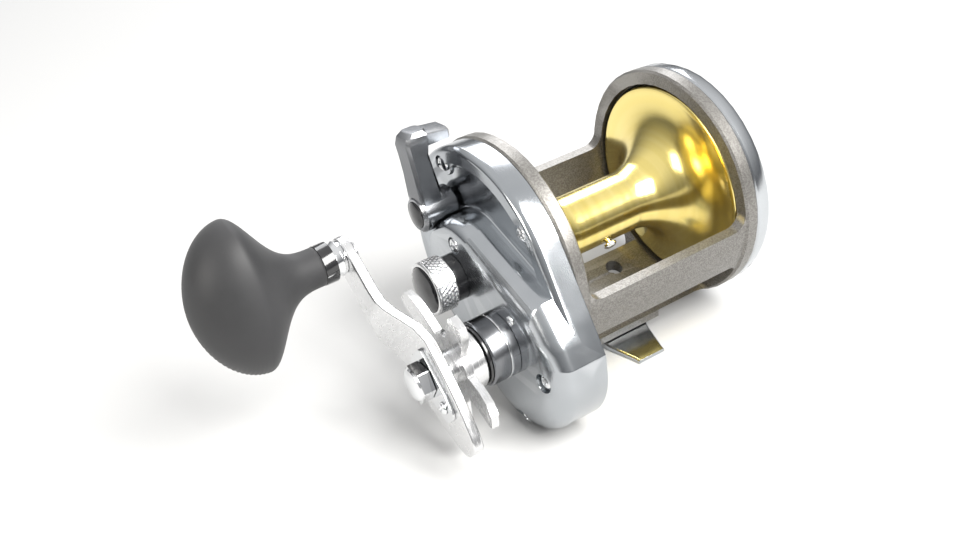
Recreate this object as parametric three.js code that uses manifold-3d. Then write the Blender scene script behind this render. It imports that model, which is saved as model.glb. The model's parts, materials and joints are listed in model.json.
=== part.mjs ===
// Overhead star-drag trolling reel, in millimetres.
// The origin is the centre of the foot's underside. +X points to the handle side,
// +Y to the rod tip and +Z up. The spool turns about a line parallel to X.
import * as THREE from 'three';
import { mergeVertices } from 'three/addons/utils/BufferGeometryUtils.js';
import Module from 'manifold-3d';

const wasm = await Module();
wasm.setup();

// ---- driving dimensions ----
const FIT = 0.1;                 // gap between pieces that are fastened together
const RUN = 0.3;                 // gap between pieces that move past each other

const AXIS_Z = 44;               // height of the spool axis above the foot
const SEAM_X = 38;               // where each side plate meets the frame
const RING_R = 41.5;             // outer radius of the frame rings
const RING_IN_R = 36.2;
const RING_W = 5.2;
const BAR_R = 40.8;              // outer radius of the bars between the rings
const BAR_IN_R = 36.8;
const BAR_LOW_Z = 27.5;          // lower edge of the front and rear bars
const FLOOR_HALF_Y = 17;         // half width of the curved floor between the rings

const FLANGE_R = 35.3;           // spool
const FLANGE_OUT_X = 36;
const FLANGE_IN_X = 33.4;
const ARBOR_R = 10.6;
const FLARE_START_X = 12.5;
const SHAFT_R = 2;

const DRIVE_Y = 24.5;            // drive shaft axis
const DRIVE_Z = AXIS_Z - 12.8;
const GEAR_TEETH = 49;
const PINION_TEETH = 10;
const PRESSURE = THREE.MathUtils.degToRad(25);
const ADDENDUM = 0.7;            // in modules
const DEDENDUM = 1.0;
const BACKLASH = 0.16;           // share of a tooth's width taken off

const LEVER_Y = -16.5;           // clutch lever axis
const LEVER_Z = AXIS_Z + 17;
const CLUTCH_TRAVEL = 2.5;       // how far the yoke and pinion slide
const YOKE_ANGLE = THREE.MathUtils.degToRad(45);
const YOKE_POST_R = 11.5;

const FACE_X = SEAM_X + 18.5;    // flat face of the gear case
const RIM_X = SEAM_X + 9.2;      // top of the side plate's rim
const DISH_X = SEAM_X + 7.1;     // floor of the dish inside the rim

const ARM_X = SEAM_X + 42.4;     // inner face of the handle arm at the nut
const ARM_T = 3.6;
const ARM_CRANK = 8.2;            // how far the knob end stands out from the nut end
const ARM_ANGLE = THREE.MathUtils.degToRad(140);
const KNOB_S = 45.2;             // the knob's place along and across the arm
const KNOB_T = 4.7;

// ---- helpers ----
function solid(geometry) {
  const g = geometry.clone();
  g.deleteAttribute('normal');
  g.deleteAttribute('uv');
  const m = mergeVertices(g, 1e-4);
  return new wasm.Manifold(new wasm.Mesh({
    numProp: 3,
    vertProperties: new Float32Array(m.attributes.position.array),
    triVerts: new Uint32Array(m.index.array),
  }));
}

function geometryOf(manifold) {
  const mesh = manifold.getMesh();
  const g = new THREE.BufferGeometry();
  g.setAttribute('position', new THREE.BufferAttribute(Float32Array.from(mesh.vertProperties), 3));
  g.setIndex(new THREE.BufferAttribute(Uint32Array.from(mesh.triVerts), 1));
  return g;
}

function cut(body, ...tools) {
  let result = solid(body);
  for (const tool of tools) result = result.subtract(solid(tool));
  return geometryOf(result);
}

function join(body, ...others) {
  let result = solid(body);
  for (const other of others) result = result.add(solid(other));
  return geometryOf(result);
}

function common(a, b) {
  return geometryOf(solid(a).intersect(solid(b)));
}

// A turned piece about a line parallel to X. The profile is a closed ring of [x, radius].
function turned(profile, y, z, segments = 32) {
  const points = profile.map(([x, r]) => new THREE.Vector2(r, x));
  const g = new THREE.LatheGeometry(points, segments);
  g.rotateZ(-Math.PI / 2);
  g.translate(0, y, z);
  return g;
}

function disc(x0, x1, r, y, z, segments = 20) {
  return turned([[x0, 0], [x0, r], [x1, r], [x1, 0]], y, z, segments);
}

function tube(x0, x1, rIn, rOut, y, z, segments = 20) {
  return turned([[x0, rIn], [x0, rOut], [x1, rOut], [x1, rIn], [x0, rIn]], y, z, segments);
}

function box(x0, x1, y0, y1, z0, z1) {
  const g = new THREE.BoxGeometry(x1 - x0, y1 - y0, z1 - z0);
  g.translate((x0 + x1) / 2, (y0 + y1) / 2, (z0 + z1) / 2);
  return g;
}

// A flat outline in Y and Z, made solid between two X positions.
function plateX(points, x0, x1, holes = []) {
  const shape = new THREE.Shape(points.map(([y, z]) => new THREE.Vector2(y, z)));
  for (const hole of holes) {
    shape.holes.push(new THREE.Path(hole.map(([y, z]) => new THREE.Vector2(y, z))));
  }
  const g = new THREE.ExtrudeGeometry(shape, { depth: x1 - x0, bevelEnabled: false });
  g.applyMatrix4(new THREE.Matrix4().makeBasis(
    new THREE.Vector3(0, 1, 0), new THREE.Vector3(0, 0, 1), new THREE.Vector3(1, 0, 0)));
  g.translate(x0, 0, 0);
  return g;
}

// The volume a closed surface holds, negative when its faces point inwards.
function signedVolume(position, index) {
  let sum = 0;
  for (let i = 0; i < index.length; i += 3) {
    const [a, b, c] = [0, 1, 2].map((k) => new THREE.Vector3().fromArray(position, index[i + k] * 3));
    sum += a.dot(b.cross(c)) / 6;
  }
  return sum;
}

// Skins a row of sections with equal point counts and closes both ends.
function loft(sections) {
  const n = sections[0].length;
  const position = sections.flat(2);
  const index = [];
  for (let i = 0; i < sections.length - 1; i += 1) {
    for (let j = 0; j < n; j += 1) {
      const a = i * n + j;
      const b = i * n + (j + 1) % n;
      index.push(a, b, b + n, a, b + n, a + n);
    }
  }
  for (const end of [0, sections.length - 1]) {
    const ring = sections[end];
    const centre = [0, 1, 2].map((k) => ring.reduce((sum, p) => sum + p[k], 0) / n);
    const c = position.length / 3;
    position.push(...centre);
    for (let j = 0; j < n; j += 1) {
      const a = end * n + j;
      const b = end * n + (j + 1) % n;
      if (end === 0) index.push(c, b, a);
      else index.push(c, a, b);
    }
  }
  const g = new THREE.BufferGeometry();
  g.setAttribute('position', new THREE.Float32BufferAttribute(position, 3));
  g.setIndex(signedVolume(position, index) < 0 ? index.reverse() : index);
  return g;
}

// The taut outline round a set of circles [y, z, radius], one point per normal direction.
function outline(circles, count, x) {
  const points = [];
  for (let i = 0; i < count; i += 1) {
    const angle = (i + 0.5) / count * 2 * Math.PI;
    const u = [Math.cos(angle), Math.sin(angle)];
    let best = null;
    let reach = -Infinity;
    for (const [y, z, r] of circles) {
      const h = y * u[0] + z * u[1] + r;
      if (h > reach) {
        reach = h;
        best = [y + r * u[0], z + r * u[1]];
      }
    }
    points.push([x, best[0], best[1]]);
  }
  return points;
}

function circlePoints(r, y, z, count) {
  const points = [];
  for (let i = 0; i < count; i += 1) {
    const angle = i / count * 2 * Math.PI;
    points.push([y + r * Math.cos(angle), z + r * Math.sin(angle)]);
  }
  return points;
}

function polar(r, degrees, y = 0, z = AXIS_Z) {
  const angle = THREE.MathUtils.degToRad(degrees);
  return [y + r * Math.cos(angle), z + r * Math.sin(angle)];
}

const reel = new THREE.Group();
reel.name = 'trolling_reel';
const COLOURS = {
  frame_paint: 0x6e6962, plate_metal: 0x9aa3ab, gold: 0xd9a520, bright_aluminium: 0xdfe1e4,
  chrome: 0xd8dbde, dark_metal: 0x4a4d52, steel: 0x8f9499, brass: 0xb08d3e,
  black_plastic: 0x141414, rubber: 0x3a3a3c, drag_fabric: 0x2b2b2b, brake_plastic: 0x7a3b2e,
};
const materials = new Map(Object.entries(COLOURS).map(
  ([name, color]) => [name, new THREE.MeshStandardMaterial({ name, color })]));

function add(name, geometry, slot) {
  const mesh = new THREE.Mesh(geometry, materials.get(slot));
  mesh.name = name;
  reel.add(mesh);
}

// A pan-head screw with its head standing off a face that looks along `side` (+1 or -1 in X).
function screw(name, x, y, z, side, headR, headH, shankR, shankL) {
  const profile = [
    [x - side * shankL, 0], [x - side * shankL, shankR], [x, shankR], [x, headR],
    [x + side * headH * 0.45, headR], [x + side * headH * 0.85, headR * 0.75],
    [x + side * headH, headR * 0.35], [x + side * headH, 0],
  ];
  if (side < 0) profile.reverse();
  add(name, turned(profile, y, z, 14), 'chrome');
}

// ---- frame ----
function ringProfile(side) {
  const a = side * (SEAM_X - RING_W);
  const b = side * SEAM_X;
  const bevel = 0.7;
  const profile = [
    [a, RING_IN_R], [a, RING_R - bevel], [a + side * bevel, RING_R],
    [b - side * bevel, RING_R], [b, RING_R - bevel], [b, RING_IN_R], [a, RING_IN_R],
  ];
  return side > 0 ? profile : profile.reverse();
}

// A rounded opening in X and Z, run through the frame along Y.
function windowCutter(z0, z1, y0, y1, r) {
  const half = SEAM_X - RING_W;
  const shape = new THREE.Shape();
  shape.moveTo(-half + r, z0);
  shape.lineTo(half - r, z0);
  shape.absarc(half - r, z0 + r, r, -Math.PI / 2, 0, false);
  shape.absarc(half - r, z1 - r, r, 0, Math.PI / 2, false);
  shape.absarc(-half + r, z1 - r, r, Math.PI / 2, Math.PI, false);
  shape.absarc(-half + r, z0 + r, r, Math.PI, 1.5 * Math.PI, false);
  const g = new THREE.ExtrudeGeometry(shape, { depth: y1 - y0, bevelEnabled: false, curveSegments: 4 });
  g.applyMatrix4(new THREE.Matrix4().makeBasis(
    new THREE.Vector3(1, 0, 0), new THREE.Vector3(0, 0, 1), new THREE.Vector3(0, -1, 0)));
  g.translate(0, y1, 0);
  return g;
}

const FLOOR_HOLE_X = -17;
const FLOOR_HOLE_Y = -10.5;
const FOOT_TOP = 2.8;
const FOOT_SCREW_Y = 10;

function buildFrame() {
  const skin = tube(-SEAM_X + 1, SEAM_X - 1, BAR_IN_R, BAR_R, 0, AXIS_Z, 44);
  const body = join(
    skin,
    turned(ringProfile(-1), 0, AXIS_Z, 44),
    turned(ringProfile(1), 0, AXIS_Z, 44),
    box(-15, 15, -FLOOR_HALF_Y, FLOOR_HALF_Y, FOOT_TOP + FIT, 8.6));
  const floorHole = new THREE.CylinderGeometry(3.2, 3.2, 20, 18);
  floorHole.rotateX(Math.PI / 2);
  floorHole.translate(FLOOR_HOLE_X, FLOOR_HOLE_Y, 6);
  const cutters = [
    windowCutter(AXIS_Z, AXIS_Z + 90, -60, 60, 5),
    windowCutter(8.6, BAR_LOW_Z, FLOOR_HALF_Y, 60, 3.5),
    windowCutter(8.6, BAR_LOW_Z, -60, -FLOOR_HALF_Y, 3.5),
    disc(-SEAM_X + 2, SEAM_X - 2, RING_IN_R + 0.3, 0, AXIS_Z, 44),
    floorHole,
  ];
  for (const side of [-1, 1]) {
    const pilot = new THREE.CylinderGeometry(1.25, 1.25, 3.6, 12);
    pilot.rotateX(Math.PI / 2);
    pilot.translate(0, side * FOOT_SCREW_Y, 4.4);
    cutters.push(pilot);
  }
  return cut(body, ...cutters);
}
add('frame', buildFrame(), 'frame_paint');

// ---- foot ----
// Sections across the foot from heel to toe: [y, half width, top height].
const FOOT_SECTIONS = [
  [-31, 5.7, 1.3], [-29, 6.0, 1.5], [-18, 9.2, 2.0], [-16.4, 9.7, FOOT_TOP],
  [16.4, 9.7, FOOT_TOP], [18, 9.2, 2.0], [29, 6.0, 1.5], [31, 5.7, 1.3],
];

function buildFoot() {
  const sections = FOOT_SECTIONS.map(([y, w, top]) => [
    [-w, y, 0], [-w, y, top - 0.5], [-w + 0.6, y, top], [w - 0.6, y, top], [w, y, top - 0.5], [w, y, 0],
  ]);
  const tools = [];
  for (const side of [-1, 1]) {
    const hole = new THREE.CylinderGeometry(1.3, 1.3, 8, 14);
    hole.rotateX(Math.PI / 2);
    hole.translate(0, side * FOOT_SCREW_Y, 2);
    const sink = new THREE.CylinderGeometry(1.3, 3.1, 1.8, 14);
    sink.rotateX(Math.PI / 2);
    sink.translate(0, side * FOOT_SCREW_Y, 0.85);
    tools.push(hole, sink);
  }
  return cut(loft(sections), ...tools);
}
add('reel_foot', buildFoot(), 'plate_metal');

for (const [name, side] of [['foot_screw_rear', -1], ['foot_screw_front', 1]]) {
  const points = [[0, 0.35], [2.5, 0.35], [1.1, 1.75], [1.1, 5.8], [0, 5.8]];
  const g = new THREE.LatheGeometry(points.map(([r, z]) => new THREE.Vector2(r, z)), 14);
  g.rotateX(Math.PI / 2);
  g.translate(0, side * FOOT_SCREW_Y, 0);
  add(name, g, 'chrome');
}

// ---- left side plate ----
const LEFT_BEARING_R = 5.5;

function buildLeftPlate() {
  const x = -SEAM_X - FIT;
  const profile = [
    [x, 39.5], [x, 40.8], [x - 0.5, 41.3], [x - 3.6, 41.3], [x - 5.6, 40.4], [x - 7.0, 38.2],
    [x - 7.8, 34.5], [x - 8.4, 22], [x - 8.7, 0],
    [x - 6.3, 0], [x - 6.3, LEFT_BEARING_R + 0.05], [x - 0.6, LEFT_BEARING_R + 0.05],
    [x - 0.6, 8.2], [x - 5.9, 8.2], [x - 5.7, 22], [x - 5.2, 34.2],
    [x - 3.4, 37.4], [x - 0.2, 37.4], [x, 37.6], [x, 39.5],
  ];
  return turned(profile.reverse(), 0, AXIS_Z, 44);
}
const LEFT_SCREW_R = 32.4;
const LEFT_SCREW_ANGLES = [45, 135, 225, 315];
const LEFT_SCREW_X = -SEAM_X - 7.1;
const leftHoles = LEFT_SCREW_ANGLES.flatMap((a) => {
  const [y, z] = polar(LEFT_SCREW_R, a);
  return [disc(LEFT_SCREW_X - 5, LEFT_SCREW_X, 3.1, y, z, 14), disc(LEFT_SCREW_X - 5, -SEAM_X - 4, 1.2, y, z, 12)];
});
add('left_side_plate', cut(buildLeftPlate(), ...leftHoles), 'plate_metal');
LEFT_SCREW_ANGLES.forEach((a, i) => {
  const [y, z] = polar(LEFT_SCREW_R, a);
  screw(`left_plate_screw_${i + 1}`, LEFT_SCREW_X - 0.05, y, z, -1, 2.7, 1.3, 1.1, 1.7);
});
add('left_spool_bearing', tube(-SEAM_X - 5.6, -SEAM_X - 1.6, SHAFT_R + 0.1, LEFT_BEARING_R, 0, AXIS_Z, 20), 'steel');
add('brake_ring', tube(-SEAM_X - 4.9, -SEAM_X - 0.7, 20, 21.4, 0, AXIS_Z, 28), 'brass');

// ---- spool group ----
function buildSpool() {
  const flare = [];
  const steps = 5;
  for (let i = 0; i <= steps; i += 1) {
    const phi = i / steps * Math.PI / 2;
    flare.push([
      FLARE_START_X + (FLANGE_IN_X - FLARE_START_X) * Math.sin(phi),
      FLANGE_R - 0.7 - (FLANGE_R - 0.7 - ARBOR_R) * Math.cos(phi),
    ]);
  }
  const outside = [
    ...flare, [FLANGE_IN_X + 0.6, FLANGE_R], [FLANGE_OUT_X, FLANGE_R],
    [FLANGE_OUT_X, 32.6], [FLANGE_OUT_X - 3.5, 24], [FLANGE_OUT_X - 3.5, SHAFT_R + FIT],
  ];
  const mirrored = outside.map(([x, r]) => [-x, r]).reverse();
  const profile = [...outside, ...mirrored, outside[0]];
  return turned(profile, 0, AXIS_Z, 32);
}
const LINE_PIN_X = 0;
const LINE_PIN_ANGLE = -40;
const [pinY, pinZ] = polar(1, LINE_PIN_ANGLE, 0, 0);
function radialScrew(x, angle, profile, segments) {
  const g = new THREE.LatheGeometry(profile.map(([r, h]) => new THREE.Vector2(r, h)), segments);
  g.rotateX(Math.PI / 2);
  g.rotateX(THREE.MathUtils.degToRad(angle - 90));
  g.translate(x, 0, AXIS_Z);
  return g;
}
const pinHole = radialScrew(LINE_PIN_X, LINE_PIN_ANGLE, [[0, 5], [1.15, 5], [1.15, 14], [0, 14]], 12);
const pinFlat = radialScrew(LINE_PIN_X, LINE_PIN_ANGLE, [[0, 9.9], [3, 9.9], [3, 14], [0, 14]], 14);
add('spool', cut(buildSpool(), pinHole, pinFlat), 'gold');
add('line_pin', radialScrew(LINE_PIN_X, LINE_PIN_ANGLE,
  [[0, 6], [1, 6], [1, 10.8], [1.2, 10.8], [1.2, 11.5], [2.4, 11.5], [2.4, 12.3], [1.7, 12.9], [0, 13.1]], 14), 'chrome');

const SHAFT_X0 = -SEAM_X - 5.4;
const SHAFT_X1 = SEAM_X + 26.5;
const CROSS_X = SEAM_X - 0.6;
add('spool_shaft', cut(
  disc(SHAFT_X0, SHAFT_X1, SHAFT_R, 0, AXIS_Z, 20),
  (() => {
    const g = new THREE.CylinderGeometry(0.75, 0.75, 10, 14);
    g.translate(CROSS_X, 0, AXIS_Z);
    return g;
  })()), 'steel');
add('clutch_cross_pin', (() => {
  const g = new THREE.CylinderGeometry(0.7, 0.7, 7.4, 14);
  g.translate(CROSS_X, 0, AXIS_Z);
  return g;
})(), 'steel');

const BRAKE_X0 = -SEAM_X - 0.5;
const BRAKE_X1 = -SEAM_X + 1.4;
const brakeArms = join(
  tube(BRAKE_X0, BRAKE_X1, SHAFT_R + FIT, 7, 0, AXIS_Z, 20),
  ...[0, 180].map((a) => {
    const g = box(BRAKE_X0, BRAKE_X1, 5, 17, -2, 2);
    g.rotateX(THREE.MathUtils.degToRad(a));
    g.translate(0, 0, AXIS_Z);
    return g;
  }));
add('brake_hub', brakeArms, 'black_plastic');
[0, 180].forEach((a, i) => {
  const g = box(BRAKE_X0 - 3.6, BRAKE_X0 - FIT, 13.5, 19.4, -2, 2);
  g.rotateX(THREE.MathUtils.degToRad(a));
  g.translate(0, 0, AXIS_Z);
  add(`brake_block_${i + 1}`, g, 'brake_plastic');
});

// ---- gear plate, closing the inside of the right side plate ----
const GEAR_CAVITY_R = 24.4;
const PLATE_X0 = SEAM_X + 0.3;
const PLATE_X1 = SEAM_X + 2.1;
const GEAR_PLATE_CIRCLES = [[0, AXIS_Z, 35.6], [DRIVE_Y, DRIVE_Z, GEAR_CAVITY_R + 0.5]];
const SIDE_OPENING_CIRCLES = [[0, AXIS_Z, 35.8], [DRIVE_Y, DRIVE_Z, GEAR_CAVITY_R + 0.7]];

add('gear_plate', cut(
  join(
    loft([PLATE_X0, PLATE_X1].map((x) => outline(GEAR_PLATE_CIRCLES, 44, x))),
    disc(PLATE_X0 - 1.2, PLATE_X1, 6.4, DRIVE_Y, DRIVE_Z, 20)),
  disc(SEAM_X - 3, SEAM_X + 5, 6.2, 0, AXIS_Z, 20),
  disc(SEAM_X - 3, SEAM_X + 5, 4.6, DRIVE_Y, DRIVE_Z, 20)), 'steel');
add('drive_shaft_bushing', tube(PLATE_X0 - 1.2, PLATE_X1, 3.3, 4.5, DRIVE_Y, DRIVE_Z, 20), 'brass');

// ---- right side plate ----
const RIM_CIRCLES = [[0, AXIS_Z, 41], [40.8, AXIS_Z + 8.4, 0.6], [53.4, 34.6, 1.4], [29, 26.7, 26.4]];
const CASE_BASE = [[2.6, AXIS_Z + 0.4, 20], [40.6, AXIS_Z + 8.2, 0.8], [53.2, 34.6, 1.6], [29, 26.7, 26.35]];
const CASE_FACE = [[0, AXIS_Z, 16.2], [33, 35.5, 8.6], [38, 31, 6.5], [28, 27.8, 17.5]];
const CASE_EDGE_X = SEAM_X + 12;
const OUTLINE_POINTS = 52;

const SIDE_SCREWS = [
  // name, x of the head seat, y, z, radius of the counterbore
  ['side_screw_knob', FACE_X - 1.1, 0.6, AXIS_Z + 12.1, 3.0],
  ['side_screw_top_front', DISH_X + 0.7, 25.6, AXIS_Z + 24.4, 3.1],
  ['side_screw_top_rear', DISH_X + 0.7, -18.2, AXIS_Z + 30.6, 3.1],
  ['side_screw_front', SEAM_X + 13.2, 46.2, AXIS_Z - 16, 3.3],
  ['side_screw_bottom', SEAM_X + 14.5, 31.5, AXIS_Z - 40.2, 3.3],
];

function blend(a, b, w) {
  return a.map((circle, i) => circle.map((v, k) => v + (b[i][k] - v) * w));
}

function grow(circles, d) {
  return circles.map(([y, z, r]) => [y, z, r + d]);
}

function buildRightPlate() {
  const rim = loft([
    outline(grow(RIM_CIRCLES, -0.4), OUTLINE_POINTS, SEAM_X + FIT),
    outline(RIM_CIRCLES, OUTLINE_POINTS, SEAM_X + 0.5),
    outline(RIM_CIRCLES, OUTLINE_POINTS, SEAM_X + 6.8),
    outline(blend(RIM_CIRCLES, grow(RIM_CIRCLES, -2), 0.35), OUTLINE_POINTS, SEAM_X + 8.4),
    outline(blend(RIM_CIRCLES, grow(RIM_CIRCLES, -2), 1), OUTLINE_POINTS, RIM_X),
  ]);
  const dish = turned([[DISH_X, 0], [DISH_X, 33.6], [RIM_X + 1, 36.6], [RIM_X + 1, 0]], 0, AXIS_Z, 44);
  const pads = SIDE_SCREWS.slice(1, 3).map(([, x, y, z]) => disc(SEAM_X + 5, x, 4.3, y, z, 18));
  const shoulder = [];
  const steps = 5;
  for (let i = 0; i <= steps; i += 1) {
    const phi = i / steps * Math.PI / 2;
    shoulder.push(outline(blend(CASE_BASE, CASE_FACE, 1 - Math.cos(phi)), OUTLINE_POINTS,
      CASE_EDGE_X + (FACE_X - CASE_EDGE_X) * Math.sin(phi)));
  }
  const gearCase = loft([outline(CASE_BASE, OUTLINE_POINTS, SEAM_X + 4), ...shoulder]);
  const ledge = loft([
    outline(grow(CASE_BASE.slice(0, 2), 1.3), OUTLINE_POINTS, SEAM_X + 4),
    outline(grow(CASE_BASE.slice(0, 2), 1.3), OUTLINE_POINTS, DISH_X + 1.1),
  ]);
  const hollows = [
    loft([SEAM_X - 1, PLATE_X1 + FIT].map((x) => outline(SIDE_OPENING_CIRCLES, OUTLINE_POINTS, x))),
    disc(SEAM_X + 2, SEAM_X + 5, 33.5, 0, AXIS_Z, 32),
    disc(SEAM_X + 2, SEAM_X + 10.4, GEAR_CAVITY_R, DRIVE_Y, DRIVE_Z, 32),
    disc(SEAM_X + 2, SEAM_X + 16.6, 17.4, DRIVE_Y, DRIVE_Z, 32),
    disc(SEAM_X + 2, SEAM_X + 16.6, 15.1, 0, AXIS_Z, 28),
    disc(SEAM_X + 10, SEAM_X + 22, 5.6, 0, AXIS_Z, 20),
    disc(SEAM_X + 10, SEAM_X + 22, 10.2, DRIVE_Y, DRIVE_Z, 28),
    disc(SEAM_X + 2, SEAM_X + 12, 2.6, LEVER_Y, LEVER_Z, 18),
    disc(DISH_X + 0.6, SEAM_X + 24, 7.1, LEVER_Y, LEVER_Z, 20),
    ...SIDE_SCREWS.map(([, x, y, z, r]) => disc(x, FACE_X + 4, r, y, z, 18)),
  ];
  const columns = [disc(SEAM_X + 13, FACE_X - 1, 2.8, 0.6, AXIS_Z + 12.1, 18)];
  const shanks = SIDE_SCREWS.map(([, x, y, z]) => disc(x - 3, x + 1, 1.2, y, z, 12));
  const bossScrew = disc(FACE_X - 3, FACE_X + 1, 1.0, BOSS_SCREW[0], BOSS_SCREW[1], 12);
  const shell = cut(join(join(cut(rim, dish), gearCase, ledge, ...pads)), ...hollows);
  return cut(join(shell, common(columns[0], disc(SEAM_X + 12, FACE_X - 1.1, 15.5, 0, AXIS_Z, 28))), ...shanks, bossScrew);
}
const BOSS_SCREW = polar(14.2, 62, DRIVE_Y, DRIVE_Z);
add('right_side_plate', buildRightPlate(), 'plate_metal');
for (const [name, x, y, z] of SIDE_SCREWS) {
  screw(name, x + 0.05, y, z, 1, 2.7, 1.5, 1.1, 2.7);
}
screw('boss_screw', FACE_X + 0.05, BOSS_SCREW[0], BOSS_SCREW[1], 1, 1.7, 1.0, 0.9, 2.6);

// ---- drive-shaft boss with its one-way roller bearing ----
const BOSS_X1 = SEAM_X + 28.3;
add('drive_boss', turned([
  [SEAM_X + 16.9, 7.6], [SEAM_X + 16.9, 10.1], [FACE_X + FIT, 10.1], [FACE_X + FIT, 11],
  [SEAM_X + 21.4, 11], [SEAM_X + 21.4, 10.6], [SEAM_X + 22.2, 10.6], [SEAM_X + 22.2, 11],
  [BOSS_X1 - 0.6, 11], [BOSS_X1, 10.5], [BOSS_X1, 7.6], [SEAM_X + 16.9, 7.6],
], DRIVE_Y, DRIVE_Z, 32), 'dark_metal');
add('boss_seam_ring', tube(SEAM_X + 21.5, SEAM_X + 22.1, 10.7, 11.15, DRIVE_Y, DRIVE_Z, 32), 'chrome');
add('one_way_bearing', tube(SEAM_X + 17.2, SEAM_X + 27, 5.5, 7.5, DRIVE_Y, DRIVE_Z, 28), 'steel');
add('boss_seal', tube(BOSS_X1 + FIT, BOSS_X1 + 1.0, 5.6, 10.2, DRIVE_Y, DRIVE_Z, 28), 'black_plastic');

// ---- crank group on the drive axis ----
const MODULE = 2 * Math.hypot(DRIVE_Y, AXIS_Z - DRIVE_Z) / (GEAR_TEETH + PINION_TEETH);
const TO_SPOOL = Math.atan2(AXIS_Z - DRIVE_Z, -DRIVE_Y);

// An involute gear outline with a tooth (or a gap) centred on the direction `phase`.
function gearOutline(teeth, phase, toothThere, y, z) {
  const pitchR = MODULE * teeth / 2;
  const baseR = pitchR * Math.cos(PRESSURE);
  const rootR = pitchR - DEDENDUM * MODULE;
  const tipR = pitchR + ADDENDUM * MODULE;
  const halfPitchWidth = Math.PI / (2 * teeth) * (1 - BACKLASH);
  const inv = (r) => {
    const a = Math.acos(Math.min(1, baseR / r));
    return Math.tan(a) - a;
  };
  const flank = [];
  const startR = Math.max(rootR, baseR);
  if (rootR < baseR) flank.push([rootR, halfPitchWidth + inv(pitchR)]);
  for (let i = 0; i <= 2; i += 1) {
    const r = startR + (tipR - startR) * i / 2;
    flank.push([r, halfPitchWidth + inv(pitchR) - inv(r)]);
  }
  const points = [];
  for (let k = 0; k < teeth; k += 1) {
    const centre = phase + (k + (toothThere ? 0 : 0.5)) * 2 * Math.PI / teeth;
    const put = (r, a) => points.push([y + r * Math.cos(a), z + r * Math.sin(a)]);
    for (const [r, half] of flank) put(r, centre - half);
    for (const [r, half] of flank.slice().reverse()) put(r, centre + half);
  }
  return points;
}

const GEAR_X0 = SEAM_X + 3.4;
const GEAR_X1 = SEAM_X + 8.0;
add('main_gear', join(
  plateX(gearOutline(GEAR_TEETH, TO_SPOOL, true, DRIVE_Y, DRIVE_Z), GEAR_X0, GEAR_X1,
    [circlePoints(15.3, DRIVE_Y, DRIVE_Z, 20)]),
  turned([
    [GEAR_X0, 3.2], [GEAR_X0, 16.4], [SEAM_X + 13.0, 16.4], [SEAM_X + 13.0, 15.0],
    [GEAR_X0 + 2, 15.0], [GEAR_X0 + 2, 3.2], [GEAR_X0, 3.2],
  ], DRIVE_Y, DRIVE_Z, 28)), 'brass');

const STACK = [
  // name, thickness, outer radius, slot
  ['drag_washer_inner', 1.2, 14.8, 'drag_fabric'],
  ['drag_plate', 1.4, 14.8, 'steel'],
  ['drag_washer_outer', 1.2, 14.8, 'drag_fabric'],
];
let stackX = GEAR_X0 + 2 + FIT;
for (const [name, thickness, r, slot] of STACK) {
  add(name, tube(stackX, stackX + thickness, 4.6, r, DRIVE_Y, DRIVE_Z, 28), slot);
  stackX += thickness + FIT;
}
add('drag_spring_washer', turned([
  [stackX, 6.2], [stackX + 0.8, 10.4], [stackX + 1.6, 10.4], [stackX + 0.8, 6.2], [stackX, 6.2],
], DRIVE_Y, DRIVE_Z, 28), 'steel');

const SHAFT_END_X = SEAM_X + 50.4;
add('drive_shaft', turned([
  [SEAM_X - 0.8, 0], [SEAM_X - 0.8, 3.1], [SEAM_X + 13.2, 3.1], [SEAM_X + 13.2, 3.4],
  [SHAFT_END_X, 3.4], [SHAFT_END_X, 0],
], DRIVE_Y, DRIVE_Z, 20), 'steel');
add('roller_sleeve', turned([
  [SEAM_X + 13.4, 3.5], [SEAM_X + 13.4, 5.2], [SEAM_X + 28.9, 5.2], [SEAM_X + 28.9, 3.5], [SEAM_X + 13.4, 3.5],
], DRIVE_Y, DRIVE_Z, 20), 'steel');

// The drag nut: a bright sleeve behind the star.
const SLEEVE_X0 = SEAM_X + 29.5;
const SLEEVE_X1 = SEAM_X + 36;
add('drag_nut', turned([
  [SLEEVE_X0, 3.6], [SLEEVE_X0, 9.4], [SLEEVE_X0 + 0.6, 10], [SLEEVE_X1, 10],
  [SLEEVE_X1, 6.0], [ARM_X - 0.6, 6.0], [ARM_X - 0.6, 3.6], [SLEEVE_X0, 3.6],
], DRIVE_Y, DRIVE_Z, 32), 'bright_aluminium');

// The star: five arms on a ring, each arm swept outwards to the handle.
const STAR_X0 = SLEEVE_X1 + FIT;
const STAR_T = 2.6;
const STAR_ARM_START = 8.5;
const STAR_ARM_END = 27;
const STAR_RISE = 2.2;

function starArm(degrees) {
  const sections = [];
  const steps = 6;
  for (let i = 0; i <= steps; i += 1) {
    const w = i / steps;
    const r = STAR_ARM_START + (STAR_ARM_END - STAR_ARM_START) * w;
    const half = i === steps ? 2.4 : 4.5 - 0.6 * w;
    const sweep = 1.2 * w * w;
    const x = STAR_X0 + STAR_RISE * w * w;
    sections.push([
      [x, sweep - half, r], [x, sweep + half, r], [x + STAR_T, sweep + half, r], [x + STAR_T, sweep - half, r],
    ]);
  }
  const g = loft(sections);
  g.rotateX(THREE.MathUtils.degToRad(degrees - 90));
  g.translate(0, DRIVE_Y, DRIVE_Z);
  return g;
}
add('star_drag', join(
  tube(STAR_X0, STAR_X0 + STAR_T, 6.1, 12.2, DRIVE_Y, DRIVE_Z, 28),
  ...[0, 1, 2, 3, 4].map((k) => starArm(72 * k - 4))), 'bright_aluminium');

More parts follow.
